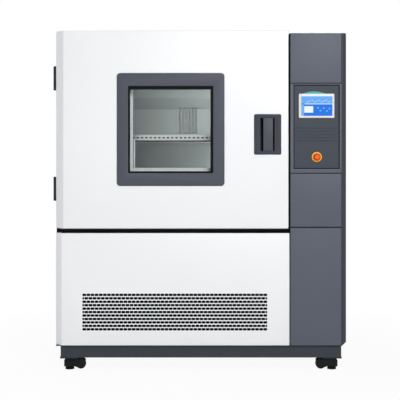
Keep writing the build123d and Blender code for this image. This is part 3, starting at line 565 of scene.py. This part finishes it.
# side sheet rolled round the column's front corner, its lower front corner cut off
def columnSide():
    low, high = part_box("right_side_panel")
    obj = block("columnSide", low, high)
    upright = along(2)
    roundEdges(obj, columnCut["roll"], 8, lambda a, b: (
        upright(a, b) and a.x > low.x + mm and a.y < low.y + mm))
    roundEdges(obj, columnCut["topRoll"], 4, lambda a, b: (
        min(a.z, b.z) > high.z - mm and min(a.x, b.x) > high.x - mm))
    cut(obj, block("tool", (low.x - through, low.y + columnCut["frontWall"], low.z - through),
                   (high.x - columnCut["wall"], high.y + through, high.z + through)))

    outwards = Vector((columnCut["cutY"], -columnCut["cutX"], -columnCut["cutY"])).normalized()
    bpy.ops.object.select_all(action="DESELECT")
    bpy.ops.mesh.primitive_cube_add(size=columnCut["tool"])
    tool = bpy.context.object
    tool.location = Vector((high.x - columnCut["cutX"], low.y, low.z)) + outwards * columnCut["tool"] / 2
    tool.rotation_euler = outwards.to_track_quat("Z", "Y").to_euler()
    cut(obj, settle())

    (y0, y1), (z0, z1) = serviceCover()
    wide = serviceCut["wide"]
    groove = block("groove", (high.x - serviceCut["deep"], y0, z0), (high.x + through, y1, z1))
    cut(groove, block("tool", (high.x - through, y0 + wide, z0 + wide),
                      (high.x + 2 * through, y1 - wide, z1 - wide)))
    cut(obj, groove)
    inset = serviceCut["inset"]
    hole = drum("hole", (high.x, y0 + inset, z0 + inset), serviceCut["hole"], serviceCut["holeDeep"], "X", 16)
    repeated(hole, serviceCut["screws"], (0, (y1 - y0 - 2 * inset) / (serviceCut["screws"] - 1), 0))
    repeated(hole, 2, (0, 0, z1 - z0 - 2 * inset))
    cut(obj, hole)
    smooth(obj, 40)
    # the darker slate on this sheet is painted shade
    finishPiece(obj, "shadedSideSlate", "cabinet", ("right_side_panel",))


seamCut = {"proud": 0.0003, "deep": 0.001, "topTall": 0.0045, "middleTall": 0.0050, "lowTall": 0.0030,
           "lowSeam": 0.711}


# dark strips in the seams between the column's covers
def seamStrips():
    low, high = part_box("control_panel_frame")
    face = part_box("column_covers")[0].y
    strips = []
    for z, tall in ((high.z + mm, seamCut["topTall"]), (low.z - mm, seamCut["middleTall"]),
                    (high.z - seamCut["lowSeam"], seamCut["lowTall"])):
        strips.append(block("seamStrips", (low.x, face - seamCut["proud"], z - tall / 2),
                            (high.x, face + seamCut["deep"], z + tall / 2)))
    finishPiece(joined("seamStrips", *strips), "black_rubber", "cabinet")


gapCut = {"left": 0.030, "edge": 0.003, "tall": 0.002, "endBack": 0.036, "endWide": 0.004}


# black strip on the lower panel's top fold, turned back along its left end
def gapSeal():
    low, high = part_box("lower_front_panel")
    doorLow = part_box("door_outer_skin")[0]
    edge = gapCut["edge"]
    strip = block("gapSeal", (low.x + gapCut["left"], low.y + edge, high.z),
                  (high.x - edge, high.y - 2 * mm, high.z + gapCut["tall"]))
    end = block("gapEnd", (low.x + edge, low.y + gapCut["endBack"], high.z),
                (low.x + edge + gapCut["endWide"], high.y - mm, doorLow.z - mm))
    finishPiece(joined("gapSeal", strip, end), "black_rubber", "cabinet")


screen = {"darkBlue": (0.004, 0.165, 0.74), "lightBlue": (0.13, 0.40, 0.88), "white": (0.80, 0.88, 1.0)}
display = {"proud": 0.1, "step": 0.2, "thick": 0.4, "left": -75, "right": 78, "bottom": -50, "top": 56,
           "marks": 14, "markLeft": -48, "markPitch": 8.6, "markWide": 3, "markTall": 5, "markLow": 16,
           "lines": 3, "lineLow": 15, "linePitch": 9, "lineTall": 0.9,
           "keys": ((6, -10), (18, -24), (34, -12), (50, -26), (62, -14))}


# generic page of the touch display: areas are x0, x1, z0, z1 in millimetres from its middle
def screenFace():
    for key in screen:
        finishes[key] = glow(key, screen[key])
    middle = middleOf("touch_screen")
    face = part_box("touch_screen")[0].y - display["proud"] * mm

    def area(name, x0, x1, z0, z1, level, finish):
        y = face - display["step"] * mm * level
        obj = block(name, (middle.x + x0 * mm, y, middle.z + z0 * mm),
                    (middle.x + x1 * mm, y + display["thick"] * mm, middle.z + z1 * mm))
        finishPiece(obj, finish, "cabinet")

    left = display["left"]
    right = display["right"]
    area("displayBase", left, right, display["bottom"], display["top"], 0, "darkBlue")
    area("displayTop", left, right, 11, display["top"], 1, "lightBlue")
    area("displayLeft", left, left + 13, display["bottom"], 7, 1, "lightBlue")
    area("displayBanner", left, right, 47, display["top"], 2, "white")
    area("displayRule", left + 15, right, 7.5, 10.5, 1, "white")
    area("displayBlock", left + 14, left + 58, -34, -2, 1, "white")
    for index in range(display["marks"]):
        x = display["markLeft"] + display["markPitch"] * index
        z = display["markLow"] + 3 * (index * 5 % 4)
        area(f"displayMark{index}", x, x + display["markWide"], z, z + display["markTall"], 2, "white")
    for index in range(display["lines"]):
        z = display["lineLow"] + display["linePitch"] * index
        area(f"displayLine{index}", left + 5, right - 4, z, z + display["lineTall"], 3, "darkBlue")
    for index, (x, z) in enumerate(display["keys"]):
        area(f"displayKey{index}", x - 3, x + 5, z - 4, z + 4, 1, "lightBlue")


tealCut = {"shift": 0.012, "radius": 0.154, "rise": 0.011, "thick": 0.0008, "side": 0.2, "below": 0.4}


# plain coloured strip with a curved top that stands on the bezel
def tealStrip():
    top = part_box("touch_screen")[1].z
    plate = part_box("control_panel_plate")[0].y
    x = middleOf("touch_screen").x - tealCut["shift"]
    radius = tealCut["radius"]
    thick = tealCut["thick"]
    middle = (x, plate - thick / 2, top + tealCut["rise"] - radius)
    strip = drum("tealStrip", middle, radius, thick, count=160)
    cut(strip, block("tool", (x - tealCut["side"], plate - through, top - tealCut["below"]),
                     (x + tealCut["side"], plate + through, top + 0.2 * mm)))
    finishPiece(strip, "tealStrip", "cabinet")


grooveCut = {"count": 5, "top": 0.2153, "pitch": 0.0154, "tall": 0.0048, "deep": 0.0022, "margin": 0.014,
             "edge": 0.0004}


# plate with a field of grooves below the screen
def controlPlate():
    low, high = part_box("control_panel_plate")
    plate = block("controlPlate", low, high)
    margin = grooveCut["margin"]
    half = grooveCut["tall"] / 2
    tools = []
    for index in range(grooveCut["count"]):
        z = high.z - grooveCut["top"] - index * grooveCut["pitch"]
        tools.append(block("tool", (low.x + margin, low.y - through, z - half),
                           (high.x - margin, low.y + grooveCut["deep"], z + half)))
    cut(plate, joined("tools", *tools))
    soften(plate, grooveCut["edge"], 1)
    finishPiece(plate, "black_plastic", "cabinet", replaced=("control_panel_plate",))


plateGapCut = {"wide": 0.0045, "proud": 0.0005}


# painted shade: dark strips round the control panel's plate stand for the shadow in its recess gap
def plateGapShade():
    low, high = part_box("control_panel_plate")
    y0 = low.y - plateGapCut["proud"]
    wide = plateGapCut["wide"]
    sides = (
        block("plateGapShade", (low.x, y0, low.z), (low.x + wide, low.y, high.z)),
        block("side", (high.x - wide, y0, low.z), (high.x, low.y, high.z)),
        block("side", (low.x + wide, y0, low.z), (high.x - wide, low.y, low.z + wide)),
        block("side", (low.x + wide, y0, high.z - wide), (high.x - wide, low.y, high.z)),
    )
    finishPiece(joined("plateGapShade", *sides), "black_rubber", "cabinet")


stopCut = {"ring": 0.025, "ringTall": 0.006, "ringEdge": 0.0025, "bore": 0.0092, "boreDeep": 0.05,
           "head": 0.018, "headFront": 0.0055, "headBack": 0.0015, "sides": 72}


# emergency stop: yellow collar and red head
def stopButton():
    middle = middleOf("estop_collar")
    x = middle.x
    z = middle.z
    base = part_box("control_panel_plate")[0].y
    tall = stopCut["ringTall"]
    ring = drum("stopRing", (x, base - tall / 2, z), stopCut["ring"], tall, count=stopCut["sides"])
    roundEdges(ring, stopCut["ringEdge"], 3, lambda a, b: max(a.y, b.y) < base - tall + mm)
    cut(ring, drum("tool", (x, base, z), stopCut["bore"], stopCut["boreDeep"]))
    smooth(ring)
    finishPiece(ring, "yellow_plastic", "cabinet", replaced=("estop_collar",))

    headLow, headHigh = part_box("estop_head")
    centre = (x, (headHigh.y + headLow.y) / 2, z)
    head = drum("stopHead", centre, stopCut["head"], headHigh.y - headLow.y, count=stopCut["sides"])
    roundEdges(head, stopCut["headFront"], 5, lambda a, b: max(a.y, b.y) < headLow.y + mm)
    roundEdges(head, stopCut["headBack"], 2, lambda a, b: min(a.y, b.y) > headHigh.y - mm)
    smooth(head)
    finishPiece(head, "stopRed", "button_head", ("estop_head",))


reveal = {"top": 0.017, "bottom": 0.009, "left": 0.0095, "right": 0.013, "edge": 0.0008}


# black glazing rubber in front of the outer pane; the extra width of its top band is painted shadow from the
# frame above
def windowReveal():
    low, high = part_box("window_seal")
    obj = block("windowReveal", low, high)
    cut(obj, block("tool", (low.x + reveal["left"], low.y - through, low.z + reveal["bottom"]),
                   (high.x - reveal["right"], high.y + through, high.z - reveal["top"])))
    soften(obj, reveal["edge"], 2)
    finishPiece(obj, "black_rubber", "door", replaced=("window_seal",))


trimCut = {"front": 0.058, "deep": 0.008, "inset": 0.007, "left": 0.026, "bottom": 0.0305,
           "innerLeft": 0.029, "innerRight": 0.036, "innerLow": 0.031, "innerDeep": 0.006, "innerTop": 0.010,
           "edge": 0.0006}


# profiles seen through the panes at the left and the bottom, in a lightened steel that is painted light
def windowTrim():
    low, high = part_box("window_tunnel")
    inset = trimCut["inset"]
    front = low.y + trimCut["front"]
    back = front + trimCut["deep"]
    side = low.x + trimCut["left"]
    left = block("windowTrim", (low.x + inset, front, low.z + inset), (side, back, high.z - inset))
    bottom = block("bottom", (side, front, low.z + inset), (high.x - inset, back, low.z + trimCut["bottom"]))
    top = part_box("shelf")[0].z + trimCut["innerTop"]
    inner = block("inner", (low.x + trimCut["innerLeft"], back, low.z + trimCut["innerLow"]),
                  (low.x + trimCut["innerRight"], back + trimCut["innerDeep"], top))
    trim = soften(joined("windowTrim", left, bottom, inner), trimCut["edge"], 1)
    finishPiece(trim, "litTrimSteel", "door")


shelfShadeCut = {"proud": 0.0008, "deep": 0.0025, "tall": 0.0065,
           "backLow": 0.012, "backHigh": 0.028, "backThick": 0.001}


# painted shade: a dark strip under the shelf's front lip stands for its shadow, and a dark strip behind its
# slots for the shade under the shelf
def shelfShadeStrips():
    low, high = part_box("shelf")
    x = (low.x + mm, high.x - mm)
    face = low.y + shelfShadeCut["deep"]
    shelfShadow = block("shelfShadeStrips", (x[0], low.y - shelfShadeCut["proud"], low.z),
                   (x[1], face, low.z + shelfShadeCut["tall"]))
    slotShade = block("slotShade", (x[0], face, low.z + shelfShadeCut["backLow"]),
                    (x[1], face + shelfShadeCut["backThick"], low.z + shelfShadeCut["backHigh"]))
    finishPiece(joined("shelfShadeStrips", shelfShadow, slotShade), "black_rubber", "shelf_tray")


screwCut = {"radius": 0.0042, "tall": 0.0024, "edge": 0.0008, "sides": 12}


# round screw heads in a row, all in one piece
def screwRow(name, first, last, count, axis, body="cabinet"):
    head = drum(name, first, screwCut["radius"], screwCut["tall"], axis, screwCut["sides"])
    roundEdges(head, screwCut["edge"], 1, lambda a, b: True)
    repeated(head, count, (Vector(last) - Vector(first)) / (count - 1))
    smooth(head)
    finishPiece(head, "stainless", body)


seamLine = {"wide": 0.002, "proud": 0.0004, "margin": 0.004, "deckDrop": 0.014}
rearCut = {"edge": 0.018, "before": 0.014, "after": 0.016, "end": 0.03, "screws": 9,
           "rowStart": 0.15, "rowEnd": 0.13, "rowScrews": 5}


def rearSheet(partition, deck):
    low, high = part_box("rear_panel")
    y = high.y
    wide = seamLine["wide"]
    out = y + seamLine["proud"]
    margin = seamLine["margin"]
    upright = block("rearSeams", (partition, y, low.z + margin), (partition + wide, out, high.z - margin))
    level = block("seam", (low.x + margin, y, deck), (partition, out, deck + wide))
    finishPiece(joined("rearSeams", upright, level), "black_rubber", "cabinet")
    edge = rearCut["edge"]
    columns = (low.x + edge, partition - rearCut["before"], partition + rearCut["after"], high.x - edge)
    bottom = low.z + rearCut["end"]
    top = high.z - rearCut["end"]
    for index, x in enumerate(columns):
        screwRow(f"rearScrews{index}", (x, y, bottom), (x, y, top), rearCut["screws"], "Y")
    first = low.x + rearCut["rowStart"]
    last = partition - rearCut["rowEnd"]
    for index, z in enumerate((deck - rearCut["before"], deck + rearCut["after"], high.z - edge)):
        screwRow(f"rearRow{index}", (first, y, z), (last, y, z), rearCut["rowScrews"], "Y")


leftCut = {"foot": 0.03, "below": 0.016, "above": 0.018, "end": 0.04, "screws": 5}


def leftSheet(deck):
    low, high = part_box("left_side_panel")
    x = low.x
    margin = seamLine["margin"]
    seam = block("leftSeam", (x - seamLine["proud"], low.y + margin, deck),
                 (x, high.y - margin, deck + seamLine["wide"]))
    finishPiece(seam, "black_rubber", "cabinet")
    first = low.y + leftCut["end"]
    last = high.y - leftCut["end"]
    for index, z in enumerate((low.z + leftCut["foot"], deck - leftCut["below"], deck + leftCut["above"])):
        screwRow(f"leftScrews{index}", (x, first, z), (x, last, z), leftCut["screws"], "X")


# countersunk screws of the removable cover
def rightSheet():
    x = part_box("right_side_panel")[1].x - serviceCut["sunk"]
    inset = serviceCut["inset"]
    (y0, y1), (z0, z1) = serviceCover()
    for index, z in enumerate((z0 + inset, z1 - inset)):
        screwRow(f"serviceScrews{index}", (x, y0 + inset, z), (x, y1 - inset, z), serviceCut["screws"], "X")


topCut = {"seamFront": 0.05, "front": 0.11, "rear": 0.02, "end": 0.03, "screws": 7}


def topSheet(partition):
    low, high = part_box("top_panel")
    z = high.z
    seam = block("topSeam", (partition, low.y + topCut["seamFront"], z),
                 (partition + seamLine["wide"], high.y - seamLine["margin"], z + seamLine["proud"]))
    finishPiece(seam, "black_rubber", "cabinet")
    first = low.x + topCut["end"]
    last = high.x - topCut["end"]
    for index, y in enumerate((low.y + topCut["front"], high.y - topCut["rear"])):
        screwRow(f"topScrews{index}", (first, y, z), (last, y, z), topCut["screws"], "Z")


# seams and screws of the sheets that the front view hides
def outerSheets():
    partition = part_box("column_partition")[1].x
    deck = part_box("door_outer_skin")[0].z - seamLine["deckDrop"]
    rearSheet(partition, deck)
    leftSheet(deck)
    rightSheet()
    topSheet(partition)


hingeCut = {"leaf": 0.004, "half": 0.060, "edge": 0.017, "pitch": 0.042, "screws": 3}


# screws in the hinge leaves
def hingeScrews():
    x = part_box("left_side_panel")[0].x - hingeCut["leaf"]
    low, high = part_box("hinge_cabinet_leaves")
    cabinetY = high.y - hingeCut["edge"]
    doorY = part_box("hinge_door_leaves")[0].y + hingeCut["edge"]
    for index, middle in enumerate((low.z + hingeCut["half"], high.z - hingeCut["half"])):
        bottom = middle - hingeCut["pitch"]
        top = middle + hingeCut["pitch"]
        for body, y in (("cabinet", cabinetY), ("door", doorY)):
            screwRow(f"{body}HingeScrews{index}", (x, y, bottom), (x, y, top), hingeCut["screws"], "X", body)


doorShell()
ventPanel()
gapSeal()
seamStrips()
columnSide()
screenFace()
tealStrip()
controlPlate()
plateGapShade()
stopButton()
windowReveal()
windowTrim()
shelfShadeStrips()
print("fronts done")
outerSheets()
hingeScrews()
print("outer sheets done")

edges = {"frame": 0.0012, "housing": 0.0008, "paddle": 0.0012, "sheet": 0.0006,
         "casterHousing": 0.0014, "wheel": 0.0010, "pad": 0.0008}
refined("window_frame", edges["frame"], "door", finish="frameSlate")
refined("handle_housing", edges["housing"], "door", finish="handleSlate")
refined("handle_paddle", edges["paddle"], "paddle", finish="paddleSlate")
refined("hinge_cabinet_leaves", edges["sheet"], "cabinet")
refined("hinge_door_leaves", edges["sheet"], "door")
refined("touch_screen", edges["sheet"], "cabinet")
refined("column_covers", edges["sheet"], "cabinet")
refined("control_panel_frame", edges["sheet"], "cabinet")
for place in ("front_left", "front_right", "rear_left", "rear_right"):
    refined("caster_housing_" + place, edges["casterHousing"], "housing_" + place)
    refined("caster_wheel_" + place, edges["wheel"], "wheel_" + place)
    refined("caster_pad_" + place, edges["pad"], "pad_" + place)
print("small parts done")


stageLook = {"size": 60, "paper": (0.86, 0.86, 0.86, 1), "fade": 0.35, "fadeStart": 0.4, "near": 0.94}


# floor that lights the piece from below and looks like the white paper
def stageSurface(name, colour):
    f = Finish(name)
    f.tree.nodes.remove(f.shader)
    path = f.add("ShaderNodeLightPath").outputs
    seen = (Val(f.tree, path["Is Camera Ray"]) + Val(f.tree, path["Is Glossy Ray"])
            + Val(f.tree, path["Is Transmission Ray"])).clamped()
    x = f.axis(0)
    y = f.axis(1)
    far = ((x * x + y * y) * stageLook["fade"] - stageLook["fadeStart"]).clamped()
    matte = f.add("ShaderNodeBsdfDiffuse", None, {"Color": colour})
    bright = f.add("ShaderNodeEmission", None, {"Color": (1, 1, 1, 1), "Strength": 1.0})
    near = stageLook["near"]
    f.mixInto("Material Output", seen * (far * (1 - near) + near), matte, bright)
    return f.mat


bpy.ops.object.select_all(action="DESELECT")
bpy.ops.mesh.primitive_plane_add(size=stageLook["size"], location=(0, 0, 0))
floor = bpy.context.object
floor.name = "floor"
floor.data.materials.append(stageSurface("floorPaper", stageLook["paper"]))

skyLook = {"tint": (0.97, 0.98, 1.0, 1), "light": 0.40}
world = bpy.data.worlds.new("studio")
bpy.context.scene.world = world
world.use_nodes = True
sky = Shading(world.node_tree)
white = world.node_tree.nodes["Background"]
white.inputs["Color"].default_value = (1, 1, 1, 1)
white.inputs["Strength"].default_value = 1.0
path = sky.add("ShaderNodeLightPath")
plain = sky.add("ShaderNodeBackground", None, {"Color": skyLook["tint"], "Strength": skyLook["light"]})
sky.mixInto("World Output", path.outputs["Is Camera Ray"], plain, white)

lamps = {
    "keyLamp": {"place": (1.5, -5.2, 3.0), "size": 2.6, "power": 150},
    "fillLamp": {"place": (-1.4, -5.2, 1.2), "size": 2.0, "power": 27, "mirrored": False},
    "rearLamp": {"place": (-1.5, 4.8, 3.2), "size": 3.0, "power": 90, "mirrored": False},
    "sideLamp": {"place": (-4.6, 1.5, 2.4), "size": 2.6, "power": 30},
    "roomLamp": {"place": (0.20, -0.37, 1.25), "size": 0.12, "power": 3.6, "aim": (0.10, 0.16, 1.34),
                 "mirrored": False},
    "lowLamp": {"place": (0.26, -0.34, 0.98), "size": 0.14, "power": 1.3, "aim": (0.18, 0.16, 0.96)},
    "paneLamp": {"place": (-0.15, -0.415, 1.2), "size": 0.36, "power": 0.45, "aim": (-0.15, 0.3, 1.2)},
}
for lampName, s in lamps.items():
    data = bpy.data.lights.new(lampName, "AREA")
    data.size = s["size"]
    data.energy = s["power"]
    lamp = bpy.data.objects.new(lampName, data)
    bpy.context.scene.collection.objects.link(lamp)
    lamp.location = s["place"]
    lamp.visible_camera = False
    lamp.visible_glossy = s.get("mirrored", True)
    aim = Vector(s.get("aim", (0, 0, 0.85)))
    lamp.rotation_euler = (aim - Vector(s["place"])).to_track_quat("-Z", "Y").to_euler()

# the photo is 400 pixels square: its horizon and camera axis, and where the part's middle and the floor lie
shot = {"distance": 5.25, "mmPerPixel": 4.938, "horizonPx": 157, "axisPx": 185, "zeroX": 201,
        "floorPx": 371.85, "photoPx": 400, "sensor": 36}
camData = bpy.data.cameras.new("camera")
camera = bpy.data.objects.new("camera", camData)
bpy.context.scene.collection.objects.link(camera)
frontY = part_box("door_outer_skin")[0].y
scaleM = shot["mmPerPixel"] * mm
camera.location = ((shot["axisPx"] - shot["zeroX"]) * scaleM, frontY - shot["distance"],
                   (shot["floorPx"] - shot["horizonPx"]) * scaleM)
camera.rotation_euler = (math.pi / 2, 0, 0)
camData.sensor_width = shot["sensor"]
camData.lens = shot["sensor"] * shot["distance"] / (shot["photoPx"] * scaleM)
camData.shift_x = (shot["photoPx"] / 2 - shot["axisPx"]) / shot["photoPx"]
camData.shift_y = (shot["horizonPx"] - shot["photoPx"] / 2) / shot["photoPx"]
bpy.context.scene.camera = camera
bpy.context.scene.view_settings.view_transform = "Standard"
print("stage done")
